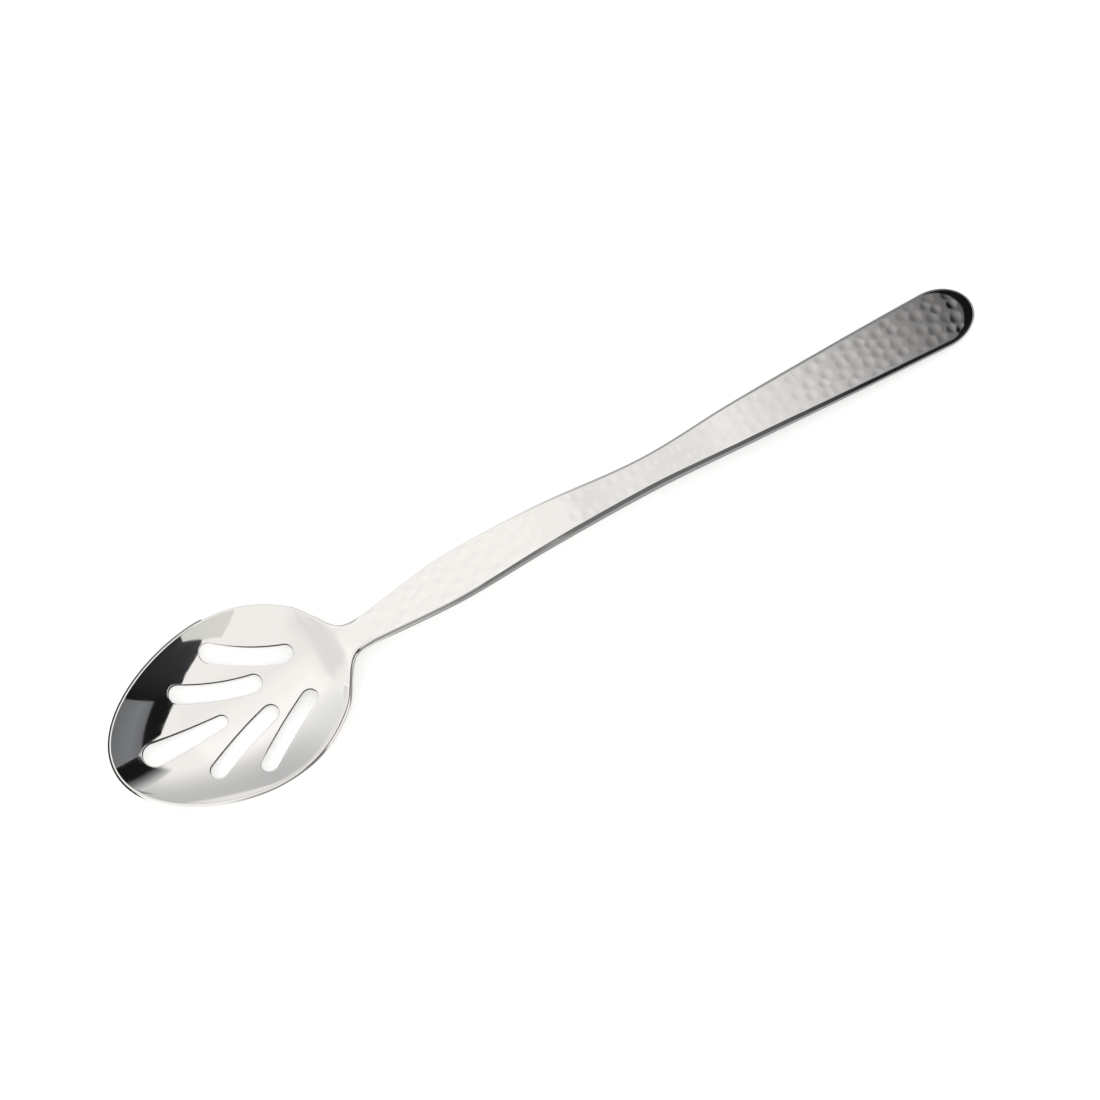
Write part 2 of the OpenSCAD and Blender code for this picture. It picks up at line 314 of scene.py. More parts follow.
@dataclass(frozen=True)
class BowlForm:
    """The pressed bowl's surfaces as formulas of x from the tip and y across, in millimetres."""

    length: float = 90.6
    width: float = 65.0
    depth: float = 11.5
    sheet: float = 2.0
    rim_rise: float = 4.6
    rim_low_x: float = 25.5
    rim_face: float = 1.3
    widest_x: float = 47.6
    deep_x: float = 46.4
    tip_x: float = 1.17
    front_power: float = 1.68
    back_power: float = 2.36
    neck_soft: float = 2.0
    dish_power: float = 2.3
    dish_short: float = 1.0
    neck_run: float = 6.0
    swell_run: float = 18.6
    polish: float = 0.01
    slope_step: float = 0.02
    under_step: float = 0.05
    under_rounds: int = 14
    tip_clear: float = 0.03
    neck: NeckProfile = NeckProfile()

    @property
    def neck_x(self) -> float:
        """Where the bowl is welded to the handle."""
        return self.length + self.neck_run

    @property
    def half_bowl(self) -> float:
        """Half the width over the inner rim line."""
        return self.width / 2.0 - self.rim_face

    def rise(self, x: Array) -> Array:
        """Rim valley: a parabola from its lowest point to the neck."""
        return self.rim_rise * ((x - self.rim_low_x) / (self.neck_x - self.rim_low_x)) ** 2

    def dish(self, x: Array) -> Array:
        """Depth of the floor below the rim: a power curve each way from the deepest place.

        Args:
            x: Positions from the tip.

        Returns:
            Depths on the middle plane, softened to none at the neck.
        """
        front = np.clip((self.deep_x - x) / (self.deep_x - self.tip_x), 0.0, None)
        run = self.length - self.dish_short - self.deep_x
        back = np.clip((x - self.deep_x) / run, 0.0, None)
        eased = soft_floor(self.depth * (1.0 - back**self.dish_power), 1.0)
        return np.where(x < self.deep_x, self.depth * (1.0 - front**self.dish_power), eased)

    def rim_z(self, x: Array) -> Array:
        """Height of the rim, set so that the lowest place of the under side is on the table."""
        spots = np.arange(self.tip_x, self.length, 0.5)
        return self.sheet - np.min(self.rise(spots) - self.dish(spots)) + self.rise(x)

    def half_rim(self, x: Array) -> Array:
        """Half width of the inner rim: a power curve to the tip and a softened one to the neck.

        Args:
            x: Positions from the tip.

        Returns:
            Half widths, never quite zero.
        """
        front = np.clip((self.widest_x - x) / (self.widest_x - self.tip_x), 0.0, 1.0)
        ahead = self.half_bowl * np.sqrt(1.0 - front**self.front_power)
        back = np.clip((x - self.widest_x) / (self.length - self.widest_x), 0.0, None)
        spare = (self.half_bowl - self.neck.half_width) * (1.0 - back**self.back_power)
        behind = self.neck.half_width + soft_floor(spare, self.neck_soft)
        return np.maximum(np.where(x < self.widest_x, ahead, behind), 0.05)

    def swell(self, x: Array) -> Array:
        """Share of the neck profile: 0 in the bowl, easing to 1 at the weld."""
        return smooth_step(1.0 - (self.neck_x - x) / self.swell_run)

    def half_width(self, x: Array) -> Array:
        """Half width of the top face, from the rim line to the neck."""
        return mix(self.half_rim(x), self.neck.half_width, self.swell(x))

    def floor(self, x: Array, share: Array) -> Array:
        """Height of the dished sheet: rim - dish (1 - |v|^p)."""
        return self.rim_z(x) - self.dish(x) * (1.0 - np.abs(share) ** self.dish_power)

    def top(self, x: Array, y: Array) -> Array:
        """Points on the upper face, dished in the bowl and flat at the neck.

        Args:
            x: Positions from the tip.
            y: Positions across, of the same shape.

        Returns:
            Array of shape (..., 3).
        """
        share = y / np.maximum(self.half_width(x), TINY)
        neck = self.rim_z(x) - self.neck.thick / 2.0 + self.neck.top(share)
        return np.stack([x, y, mix(self.floor(x, share), neck, self.swell(x))], axis=-1)

    def top_normal(self, x: Array, y: Array) -> Array:
        """Normals of the upper face by central differences.

        Args:
            x: Positions from the tip.
            y: Positions across, of the same shape.

        Returns:
            Unit normals of shape (..., 3), pointing up.
        """
        step = self.slope_step
        slope_x = (self.top(x + step, y) - self.top(x - step, y))[..., 2] / (2.0 * step)
        slope_y = (self.top(x, y + step) - self.top(x, y - step))[..., 2] / (2.0 * step)
        return unit(np.stack([-slope_x, -slope_y, np.ones_like(slope_x)], axis=-1))

    def floor_normal(self, x: Array, y: Array) -> Array:
        """Normals of the dished sheet by central differences.

        Args:
            x: Positions from the tip.
            y: Positions across, of the same shape.

        Returns:
            Unit normals of shape (..., 3), pointing up.
        """
        step = self.slope_step
        ahead, behind = self.half_rim(x + step), self.half_rim(x - step)
        here = self.half_rim(x)
        along = self.floor(x + step, y / ahead) - self.floor(x - step, y / behind)
        across = self.floor(x, (y + step) / here) - self.floor(x, (y - step) / here)
        slope_x, slope_y = along / (2.0 * step), across / (2.0 * step)
        return unit(np.stack([-slope_x, -slope_y, np.ones_like(slope_x)], axis=-1))

    def under(self, x: Array, y: Array) -> Array:
        """Points of the under face: the dish less the sheet along its normal, then the neck belly.

        Args:
            x: Positions on the upper face from the tip.
            y: Positions on it across, of the same shape.

        Returns:
            Array of shape (..., 3), whose plan is moved by the slope of the dish.
        """
        share = np.clip(y / np.maximum(self.half_width(x), TINY), -1.0, 1.0)
        across = share * self.half_rim(x)
        dished = np.stack([x, across, self.floor(x, share)], axis=-1)
        sheet = dished - (self.sheet - self.polish) * self.floor_normal(x, across)
        belly = self.rim_z(x) - self.neck.thick / 2.0 - self.neck.under(share)
        neck = np.stack([x, share * self.neck.half_width, belly], axis=-1)
        return mix(sheet, neck, self.swell(x)[..., None])

    def under_at(self, plan: Array) -> Array:
        """Points of the under face straight below plan positions, by fixed-point steps.

        Args:
            plan: Array of shape (n, 2).

        Returns:
            Array of shape (n, 3) whose plan is the one given.
        """
        spot = plan.copy()
        for _ in range(self.under_rounds):
            spot = spot + plan - self.under(spot[:, 0], spot[:, 1])[:, :2]
            spot[:, 0] = np.maximum(spot[:, 0], self.tip_x + self.tip_clear)
        return np.column_stack([plan, self.under(spot[:, 0], spot[:, 1])[:, 2]])

    def under_normal(self, plan: Array) -> Array:
        """Downward normals of the under face at plan positions, by central differences.

        Args:
            plan: Array of shape (n, 2).

        Returns:
            Unit normals of shape (n, 3).
        """
        step = self.under_step
        high_x = self.under_at(plan + [step, 0.0])[:, 2] - self.under_at(plan - [step, 0.0])[:, 2]
        high_y = self.under_at(plan + [0.0, step])[:, 2] - self.under_at(plan - [0.0, step])[:, 2]
        return unit(np.column_stack([high_x, high_y, -2.0 * step * np.ones(len(plan))]))

    def rim_line(self, step: float) -> Array:
        """Plan of the inner rim from the +Y neck corner round the tip to the -Y one, evenly spaced.

        Args:
            step: Spacing along the rim, in millimetres.

        Returns:
            Array of shape (n, 2), running anticlockwise seen from above.
        """
        back = np.linspace(self.neck_x, self.widest_x, 240)
        turn = np.linspace(np.pi / 2.0, 0.0, 240)[1:]
        front = (np.cos(turn) ** 2) ** (1.0 / self.front_power)
        ahead = self.widest_x - (self.widest_x - self.tip_x) * front
        side_x = np.concatenate([back, ahead])
        side_y = np.concatenate([self.half_width(back), self.half_bowl * np.sin(turn)])
        far = np.column_stack([side_x, side_y])
        near = np.column_stack([side_x[-2::-1], -side_y[-2::-1]])
        return even_line(np.vstack([far, near]), step, closed=False)


@dataclass(frozen=True)
class SlotCut:
    """One drain slot: a tapered plan outline along a bowed centre line, punched straight down."""

    start: tuple[float, float]
    end: tuple[float, float]
    wide: float
    narrow: float
    bow: float

    @classmethod
    def beside(
        cls, at: float, off: float, turn: float, length: float, width: float, bow: float, side: int
    ) -> "SlotCut":
        """A side slot from its middle, its angle and the side it is on.

        Args:
            at: Middle of the slot from the tip.
            off: Middle of the slot from the centre line.
            turn: Angle to the centre line in degrees.
            length: Length over the round ends.
            width: Width of the slot.
            bow: Sideways bow towards the middle.
            side: 1 for +Y and -1 for -Y.

        Returns:
            The slot.
        """
        angle = np.radians(turn)
        reach = length / 2.0 * np.array([np.cos(angle), -side * np.sin(angle)])
        middle = np.array([at, side * off])
        return cls(tuple(middle - reach), tuple(middle + reach), width, width, side * bow)

    def beads(self) -> tuple[Array, Array, Array]:
        """Places along the slot's centre line, which bows sideways by 4 b t (1 - t).

        Returns:
            Centre points, half widths and headings along the slot.
        """
        start, end = np.array(self.start), np.array(self.end)
        along = unit(end - start)
        first, last = start + along * self.wide / 2.0, end - along * self.narrow / 2.0
        share = np.linspace(0.0, 1.0, 25)[:, None]
        none = 0.0 * share
        sideways = np.concatenate([none, self.bow * 4.0 * share * (1.0 - share)], axis=1)
        leaning = np.concatenate([none, self.bow * (4.0 - 8.0 * share)], axis=1)
        spots = mix(first, last, share) - sideways
        heading = unit((last - first) - leaning)
        return spots, mix(self.wide, self.narrow, share[:, 0]) / 2.0, heading

    def outline(self, step: float) -> Array:
        """Closed outline, anticlockwise: right side, round far end, left side, round near end.

        Args:
            step: Spacing along the outline, in millimetres.

        Returns:
            Array of shape (n, 2).
        """
        spots, halves, heading = self.beads()
        left = np.column_stack([-heading[:, 1], heading[:, 0]])
        turn = np.linspace(-np.pi / 2.0, np.pi / 2.0, 25)[1:-1, None]
        far = spots[-1] + halves[-1] * (np.cos(turn) * heading[-1] + np.sin(turn) * left[-1])
        near = spots[0] - halves[0] * (np.cos(turn) * heading[0] + np.sin(turn) * left[0])
        sides = halves[:, None] * left
        line = np.vstack([spots - sides, far, (spots + sides)[::-1], near])
        return even_line(line, step, closed=True)

    def reach(self, points: Array) -> Array:
        """Distance of plan points from the slot's edge, negative inside it.

        Args:
            points: Array of shape (n, 2).

        Returns:
            Array of n distances in millimetres.
        """
        spots, halves, _ = self.beads()
        return np.min(np.linalg.norm(points[:, None] - spots[None], axis=2) - halves[None], axis=1)


@dataclass
class SlottedBowl:
    """The pressed bowl with its rim, slots, neck and tang."""

    form: BowlForm = field(default_factory=BowlForm)
    finish: SteelFinish = POLISHED
    slot_length: float = 31.9
    slot_width: float = 6.3
    slot_bow: float = 0.8
    centre_from: float = 10.7
    centre_wide: float = 8.6
    centre_narrow: float = 4.8
    centre_short: float = 1.0
    inner_slot: tuple[float, float, float] = (43.0, 10.5, 20.5)
    outer_slot: tuple[float, float, float] = (57.9, 15.3, 30.4)
    rim_ease: float = 0.62
    rim_power: float = 0.62
    slot_ease: float = 0.34
    slot_power: float = 0.5
    rim_step: float = 0.6
    slot_step: float = 0.5
    mesh_step: float = 0.85
    edge_rows: int = 19
    tang_length: float = 16.0
    tang_half: tuple[float, float] = (2.3, 1.25)
    tang_slope: float = 0.145

    def slots(self) -> list[SlotCut]:
        """The centre slot and two side slots on each side.

        Returns:
            The five slots.
        """
        end = self.centre_from + self.slot_length - self.centre_short
        wide, narrow = self.centre_wide, self.centre_narrow
        cuts = [SlotCut((self.centre_from, 0.0), (end, 0.0), wide, narrow, 0.0)]
        size = (self.slot_length, self.slot_width, self.slot_bow)
        for side in (1, -1):
            for place in (self.inner_slot, self.outer_slot):
                cuts.append(SlotCut.beside(*place, *size, side))
        return cuts

    def plan_mesh(
        self, border: Array, holes: list[Array], inside: Array
    ) -> tuple[Array, Array, list[Array]]:
        """Triangles over a plan region with holes, by constrained Delaunay.

        Args:
            border: Closed outer line, shape (n, 2).
            holes: Closed lines of the holes.
            inside: Free points between them.

        Returns:
            Plan points, anticlockwise triangles and the vertex numbers of each line, border first.
        """
        lines, points, edges, begin = [], [], [], 0
        for line in [border, *holes]:
            ids = np.arange(begin, begin + len(line))
            lines.append(ids)
            points.append(line)
            edges.append(np.column_stack([ids, np.roll(ids, -1)]))
            begin += len(line)
        points.append(inside)
        given = np.vstack(points)
        verts, _, faces, origin, _, _ = delaunay_2d_cdt(
            given.tolist(), np.vstack(edges).tolist(), [], 0, 1e-7
        )
        plan = np.array([tuple(v) for v in verts])
        number = np.full(len(given), -1)
        for new, old in enumerate(origin):
            number[old] = new
        triangles = np.array(faces)
        corner = plan[triangles]
        centre = corner.mean(axis=1)
        keep = self.in_line(centre, border)
        for hole in holes:
            keep &= ~self.in_line(centre, hole)
        first, second = corner[:, 1] - corner[:, 0], corner[:, 2] - corner[:, 0]
        area = first[:, 0] * second[:, 1] - first[:, 1] * second[:, 0]
        keep &= np.abs(area) > 1e-9
        turned = np.where(area[:, None] > 0.0, triangles, triangles[:, ::-1])
        return plan, turned[keep], [number[ids] for ids in lines]

    @staticmethod
    def in_line(points: Array, line: Array) -> Array:
        """Whether plan points lie inside a closed line, by counting crossings to the right.

        Args:
            points: Array of shape (n, 2).
            line: Closed line, shape (m, 2).

        Returns:
            Array of n truth values.
        """
        after = np.roll(line, -1, axis=0)
        px, py = points[:, 0, None], points[:, 1, None]
        spans = (line[None, :, 1] > py) != (after[None, :, 1] > py)
        rise = np.where(np.abs(after[:, 1] - line[:, 1]) < 1e-12, 1e-12, after[:, 1] - line[:, 1])
        at = line[None, :, 0] + (py - line[None, :, 1]) * ((after[:, 0] - line[:, 0]) / rise)[None]
        return np.sum(spans & (px < at), axis=1) % 2 == 1

    def free_points(self, border: Array, holes: list[Array]) -> Array:
        """Staggered plan points that keep off the border and the holes.

        Args:
            border: Closed outer line.
            holes: Closed lines of the holes.

        Returns:
            Array of shape (n, 2).
        """
        low, high = border.min(axis=0), border.max(axis=0)
        step = self.mesh_step
        across = np.arange(low[1], high[1], step * 0.87)
        xs, ys = np.meshgrid(np.arange(low[0], high[0], step), across)
        xs = xs + np.where(np.arange(len(ys))[:, None] % 2 == 0, 0.0, step / 2.0)
        spots = np.column_stack([xs.ravel(), ys.ravel()])
        keep = self.in_line(spots, border)
        for hole in holes:
            keep &= ~self.in_line(spots, hole)
        spots = spots[keep]
        lines = np.vstack([border, *holes])
        near = np.min([np.min(np.linalg.norm(spots[:, None] - part[None], axis=2), axis=1)
                       for part in np.array_split(lines, 12)], axis=0)
        return spots[near > step * 0.6]

    def rounded_edge(
        self, upper: Array, lower: Array, outward: Array, ease: Array, power: float
    ) -> Array:
        """Rows that carry an eased edge from an upper line to a lower one.

        Each section is a half superellipse: mid + half cos^p + outward ease sin^p.

        Args:
            upper: Upper line, shape (n, 3).
            lower: Lower line, shape (n, 3).
            outward: Unit directions out of the metal, shape (n, 3).
            ease: How far the edge stands out, shape (n,).
            power: Exponent p of the sections.

        Returns:
            Array of shape (rows, n, 3), from the upper line to the lower one.
        """
        turn = np.linspace(0.0, np.pi, self.edge_rows)[:, None, None]
        up = np.sign(np.cos(turn)) * np.abs(np.cos(turn)) ** power
        out = np.clip(np.sin(turn), 0.0, 1.0) ** power
        return (upper + lower) / 2.0 + (upper - lower) / 2.0 * up + outward * ease[:, None] * out

    def neck_edge(self, edge: Array, rim_x: Array, ease: Array) -> Array:
        """Eases the rows of the rim into the profile of the handle mouth along the neck.

        Args:
            edge: Rows of the eased rim, shape (rows, n, 3).
            rim_x: Place of each section along the spoon, shape (n,).
            ease: How far each section stands out, shape (n,).

        Returns:
            The rows, with each height blended towards the mouth's own at the same reach.
        """
        form, swell = self.form, self.form.swell(rim_x)
        turn = np.linspace(0.0, np.pi, self.edge_rows)[:, None]
        reach = ease * np.clip(np.sin(turn), 0.0, 1.0) ** self.rim_power
        share = 1.0 - (ease - reach) / form.neck.half_width
        seam = form.rim_z(rim_x) - form.neck.thick / 2.0
        mouth = seam + np.where(turn <= np.pi / 2.0, form.neck.top(share), -form.neck.under(share))
        eased = edge.copy()
        eased[..., 2] = mix(edge[..., 2], mouth, swell)
        return eased

    def build(self) -> bpy.types.Object:
        """Builds the bowl as one closed mesh: two faces, eased rim and slots, neck end and tang.

        Returns:
            The dressed piece.
        """
        form, draft = self.form, MeshDraft()
        rim = form.rim_line(self.rim_step)
        swell = form.swell(rim[:, 0])
        ease = mix(self.rim_ease, form.neck.bevel, swell)
        out = line_outward(rim, closed=False)
        inner = rim - out * ease[:, None] * mix(0.85, 1.0, swell)[:, None]
        inner[[0, -1], 0] = form.neck_x
        neck_y = np.linspace(inner[-1, 1], inner[0, 1], 17)[1:-1]
        neck_line = np.column_stack([np.full(len(neck_y), form.neck_x), neck_y])
        rim_top = form.top(inner[:, 0], inner[:, 1])
        rim_under = form.under(inner[:, 0], inner[:, 1])
        top_border = np.vstack([inner, neck_line])
        under_border = np.vstack([rim_under[:, :2], neck_line])
        cuts = [cut.outline(self.slot_step) for cut in self.slots()]
        holes = [line + line_outward(line, closed=True) * self.slot_ease for line in cuts]

        plan, faces, lines = self.plan_mesh(top_border, holes, self.free_points(top_border, holes))
        plan_x, plan_y = plan[:, 0], plan[:, 1]
        top_ids = draft.add_points(form.top(plan_x, plan_y), form.top_normal(plan_x, plan_y))
        draft.add_faces(top_ids[faces])
        low_plan, low_faces, low_lines = self.plan_mesh(
            under_border, holes, self.free_points(under_border, holes))
        under_ids = draft.add_points(form.under_at(low_plan), form.under_normal(low_plan))
        draft.add_faces(under_ids[low_faces][:, ::-1])

        count = len(inner)
        true_rim = form.top(rim[:, 0], rim[:, 1])
        level = np.column_stack([out, np.zeros(count)])
        outward = unit(mix(unit(true_rim - rim_top), level, swell[:, None]))
        edge = self.rounded_edge(rim_top, rim_under, outward, ease, self.rim_power)
        edge = self.neck_edge(edge, rim[:, 0], ease)
        edge_ids = draft.add_points(edge[1:-1], grid_normals(edge)[1:-1])
        rim_ids = np.vstack([top_ids[lines[0][:count]], edge_ids, under_ids[low_lines[0][:count]]])
        draft.add_strip(rim_ids, closed=False)

        for line, hole, ids, low_ids in zip(cuts, holes, lines[1:], low_lines[1:]):
            upper = form.top(hole[:, 0], hole[:, 1])
            lower = form.under_at(hole)
            inward = np.column_stack([-line_outward(line, closed=True), np.zeros(len(line))])
            ease = np.full(len(line), self.slot_ease)
            wall = self.rounded_edge(upper, lower, inward, ease, self.slot_power)
            wrapped = np.concatenate([wall[:, -1:], wall, wall[:, :1]], axis=1)
            wall_ids = draft.add_points(wall[1:-1], -grid_normals(wrapped)[1:-1, 1:-1])
            block = np.vstack([top_ids[ids], wall_ids, under_ids[low_ids]])
            draft.add_strip(block, closed=True, flip=True)

        neck_top = top_ids[lines[0][count:]]
        neck_under = under_ids[low_lines[0][count:]]
        ring = np.concatenate([neck_top, rim_ids[:, 0], neck_under[::-1], rim_ids[::-1, -1]])
        self.add_tang(draft, ring)
        made = draft.piece("slotted_bowl_polished")
        made.data.materials.append(self.finish.material())
        return made

    def add_tang(self, draft: MeshDraft, ring: Array) -> None:
        """Closes the neck end and carries it on as the tang inside the handle.

        Args:
            draft: The bowl's mesh so far.
            ring: Vertex numbers round the neck end.
        """
        form = self.form
        points = np.concatenate(draft.points)[ring]
        seam = float(form.rim_z(np.array(form.neck_x))) - form.neck.thick / 2.0
        middle = np.array([form.neck_x, 0.0, seam])
        offset = (points - middle)[:, 1:]
        half = np.array(self.tang_half)
        scale = 1.0 / np.max(np.abs(offset) / half, axis=1)
        section = middle[1:] + offset * scale[:, None]
        root = np.column_stack([np.full(len(ring), form.neck_x), section])
        far = root + np.array([self.tang_length, 0.0, self.tang_slope * self.tang_length])
        cap = far.mean(axis=0)[None]
        blank = np.zeros_like(root)
        root_ids = draft.add_points(root, blank)
        far_ids = draft.add_points(far, blank)
        cap_id = draft.add_points(cap, np.zeros((1, 3)))
        draft.add_strip(np.vstack([ring, root_ids, far_ids]), closed=True, hard=True)
        hub = np.repeat(cap_id, len(ring))
        draft.add_faces(np.column_stack([far_ids, hub, np.roll(far_ids, -1)]), hard=True)


@dataclass(frozen=True)
class HandleForm:
    """The hollow handle's outline, arch and hammer marks, in millimetres from the bowl tip."""

    bowl: BowlForm = BowlForm()
    bulge_half: float = 8.6
    waist_half: float = 5.8
    end_half: float = 10.65
    bulge_at: float = 33.0
    crest_at: float = 68.0
    waist_at: float = 111.0
    waist_thick: float = 8.9
    end_thick: float = 5.6
    arch_height: float = 24.2
    waist_height: float = 16.6
    bulge_drop: float = 1.0
    end_drop: float = 0.4
    end_round: float = 15.0
    tip_short: float = 0.1
    nose: float = 5.0
    nose_deep: float = 0.9
    mark_pitch: float = 4.7
    mark_depth: float = 0.08
    end_depth: float = 1.7
    mark_margin: float = 1.7
    mark_fade: float = 1.2
    polish: float = 0.01
    marks_after_neck: float = 5.0
    marks_before_end: float = 1.5
    mark_spread: float = 0.92
    mark_stray: tuple[float, float] = (0.6, 0.4)
    mark_radius: tuple[float, float] = (0.42, 0.14)
    mark_sink: tuple[float, float] = (0.7, 0.6)
    deep_from: float = 14.0
    deep_run: float = 8.0
    flare_share: float = 0.28
    palm_share: float = 0.62

    @property
    def end_x(self) -> float:
        """Where the rounded end begins."""
        return OVERALL - self.end_round

    def stations(self) -> Array:
        """Places where the outline, thickness and arch are set.

        Returns:
            Neck, bulge, crest, waist, flare, palm and end, measured from the bowl tip.
        """
        run = OVERALL - self.bowl.neck_x
        flare = mix(self.waist_at, run, self.flare_share)
        palm = mix(self.waist_at, run, self.palm_share)
        spots = [0.0, self.bulge_at, self.crest_at, self.waist_at, flare, palm, run]
        return self.bowl.neck_x + np.array(spots)

    @staticmethod
    def curve(xs: Array, fs: Array, x: Array) -> Array:
        """Cubic Hermite curve through stations, with slopes from the neighbours on both sides.

        Args:
            xs: Stations in rising order.
            fs: Values at them.
            x: Positions along the handle.

        Returns:
            Values of the curve, in the shape of x.
        """
        order = np.arange(len(xs))
        low, high = np.maximum(order - 1, 0), np.minimum(order + 1, len(xs) - 1)
        slope = (fs[high] - fs[low]) / (xs[high] - xs[low])
        i = np.clip(np.searchsorted(xs, x, side="right") - 1, 0, len(xs) - 2)
        h = xs[i + 1] - xs[i]
        t = (x - xs[i]) / h
        return (fs[i] * (1 + 2 * t) * (1 - t) ** 2 + slope[i] * h * t * (1 - t) ** 2
                + fs[i + 1] * t * t * (3 - 2 * t) + slope[i + 1] * h * t * t * (t - 1))

    @property
    def end_run(self) -> float:
        """Length of the rounded end, just short of the full one."""
        return self.end_round - self.tip_short

    def end_share(self, x: Array) -> Array:
        """Share of the way along the rounded end, 0 before it."""
        return np.clip((x - self.end_x) / self.end_run, 0.0, 1.0)

    def fall(self, x: Array) -> Array:
        """Quarter ellipse from 1 where the end begins to 0 at the tip."""
        return np.sqrt(np.clip(1.0 - self.end_share(x) ** 2, 0.0, 1.0))

    def half_thick(self, x: Array) -> Array:
        """Half the thickness along the handle: a curve through shares between neck, waist and end.

        Args:
            x: Positions along the handle.

        Returns:
            Half thicknesses.
        """
        neck, waist, end = self.bowl.neck.thick, self.waist_thick, self.end_thick
        shares = np.array([neck, mix(neck, waist, 0.37), mix(neck, waist, 0.85), waist,
                           mix(waist, end, 0.35), mix(waist, end, 0.77), end])
        return self.curve(self.stations(), shares, x) / 2.0

    def half_belly(self, x: Array) -> Array:
        """Depth of the under side below the seam, closing up round the end."""
        return (self.half_thick(x) - self.polish) * self.fall(x) ** self.bowl.neck.belly_power

    def half_width(self, x: Array) -> Array:
        """Half the plan width: a curve through the stations, times the fall of the rounded end.

        Args:
            x: Positions along the handle.

        Returns:
            Half widths.
        """
        neck, bulge = self.bowl.neck.half_width, self.bulge_half
        waist, end = self.waist_half, self.end_half
        halves = np.array([neck, bulge, mix(bulge, waist, 0.36), waist,
                           mix(waist, end, 0.394), mix(waist, end, 0.778), end])
        spots = np.minimum(self.stations(), self.end_x)
        return self.curve(spots, halves, np.minimum(x, self.end_x)) * self.fall(x)

    def edge_at(self, x: Array) -> Array:
        """Width of the eased edge along the hammered face."""
        return np.minimum(self.bowl.neck.bevel, self.half_width(x) * 0.4)

    def flat_half(self, x: Array) -> Array:
        """Half the width of the hammered face, inside its eased edges."""
        return self.half_width(x) - self.edge_at(x)

    def face_z(self, x: Array, y: Array) -> Array:
        """Height of the upper face: flat and hammered, with a bevel that widens round the nose.

        Along the sides the distance from the outline is half width - |y|. Round the end it is
        (1 - r) over the slope of r, where r = sqrt(t t + v v) is the ellipse of the end.

        Args:
            x: Positions along the handle.
            y: Positions across it, of the same shape.

        Returns:
            Heights in millimetres.
        """
        edge, power = self.edge_at(x), self.bowl.neck.bevel_power
        side = edge_drop(self.half_width(x) - np.abs(y), edge, edge, power)
        along, across = np.maximum(self.end_share(x), TINY), np.abs(y) / self.end_half
        ring = np.hypot(along, across)
        gap = (1.0 - ring) * ring / np.hypot(along / self.end_run, across / self.end_half)
        turn = (along / ring) ** 2
        end_edge = self.edge_at(np.array(self.end_x))
        deep = mix(end_edge, self.nose_deep * self.half_thick(x), turn)
        tip = edge_drop(gap, mix(end_edge, self.nose, turn), deep, mix(power, 2.0, turn))
        top = self.seam_z(x) + self.half_thick(x) - self.polish
        return top - np.where(x <= self.end_x, side, tip) - self.relief(x, y)

    def seam_z(self, x: Array) -> Array:
        """Height of the weld seam: the arch of the upper face less half the thickness.

        Args:
            x: Positions along the handle.

        Returns:
            Heights in millimetres.
        """
        neck_top = float(self.bowl.rim_z(np.array(self.bowl.neck_x)))
        crest, waist = self.arch_height, self.waist_height
        end_top = self.end_thick - self.end_drop
        tops = np.array([neck_top, crest - self.bulge_drop, crest, waist,
                         mix(waist, end_top, 0.14), mix(waist, end_top, 0.54), end_top])
        return self.curve(self.stations(), tops, x) - self.half_thick(x)

    @staticmethod
    def scatter(number: float) -> float:
        """Repeatable value from 0 to 1: the fraction of a large sine."""
        value = np.sin(np.radians(number * 127.1)) * 43758.5453
        return float(value - np.floor(value))

    def marks(self) -> Array:
        """Hammer marks in staggered rows, each moved, sized and sunk by the scatter.

        Returns:
            Array of shape (n, 4): x, y, radius and depth of each mark.
        """
        pitch = self.mark_pitch
        first = self.bowl.neck_x + self.marks_after_neck
        rows = int(np.floor((OVERALL - self.marks_before_end - first) / pitch))
        found = []
        for row in range(rows):
            x = first + row * pitch
            half = max(float(self.flat_half(np.array(x))) - self.mark_margin, pitch / 4.0)
            count = max(2, int(np.floor(2.0 * half / pitch + 1.2)))
            lean = (0.5 if row % 2 == 0 else -0.5) * half / count
            near_end = float(smooth_step((x - OVERALL + self.deep_from) / self.deep_run))
            sunk = self.mark_depth * mix(1.0, self.end_depth, near_end)
            for column in range(count):
                seed = row * 17 + column
                y = half * (2.0 * column / (count - 1) - 1.0) * self.mark_spread + lean
                radius = self.mark_radius[0] + self.mark_radius[1] * self.scatter(seed + 0.6)
                sink = self.mark_sink[0] + self.mark_sink[1] * self.scatter(seed + 0.9)
                found.append((x + (self.scatter(seed) - 0.5) * pitch * self.mark_stray[0],
                              y + (self.scatter(seed + 0.3) - 0.5) * pitch * self.mark_stray[1],
                              pitch * radius, sunk * sink))
        return np.array(found)

    def relief(self, x: Array, y: Array) -> Array:
        """Depth of the hammering: the deepest of the marks, each d (1 - r r)^1.5, less at the edge.

        Args:
            x: Positions along the handle.
            y: Positions across it, of the same shape.

        Returns:
            Depths in millimetres.
        """
        depth = np.zeros_like(x)
        for at_x, at_y, radius, sunk in self.marks():
            share = ((x - at_x) ** 2 + (y - at_y) ** 2) / radius**2
            depth = np.maximum(depth, sunk * np.clip(1.0 - share, 0.0, 1.0) ** 1.5)
        return depth * smooth_step((self.flat_half(x) - np.abs(y)) / self.mark_fade)


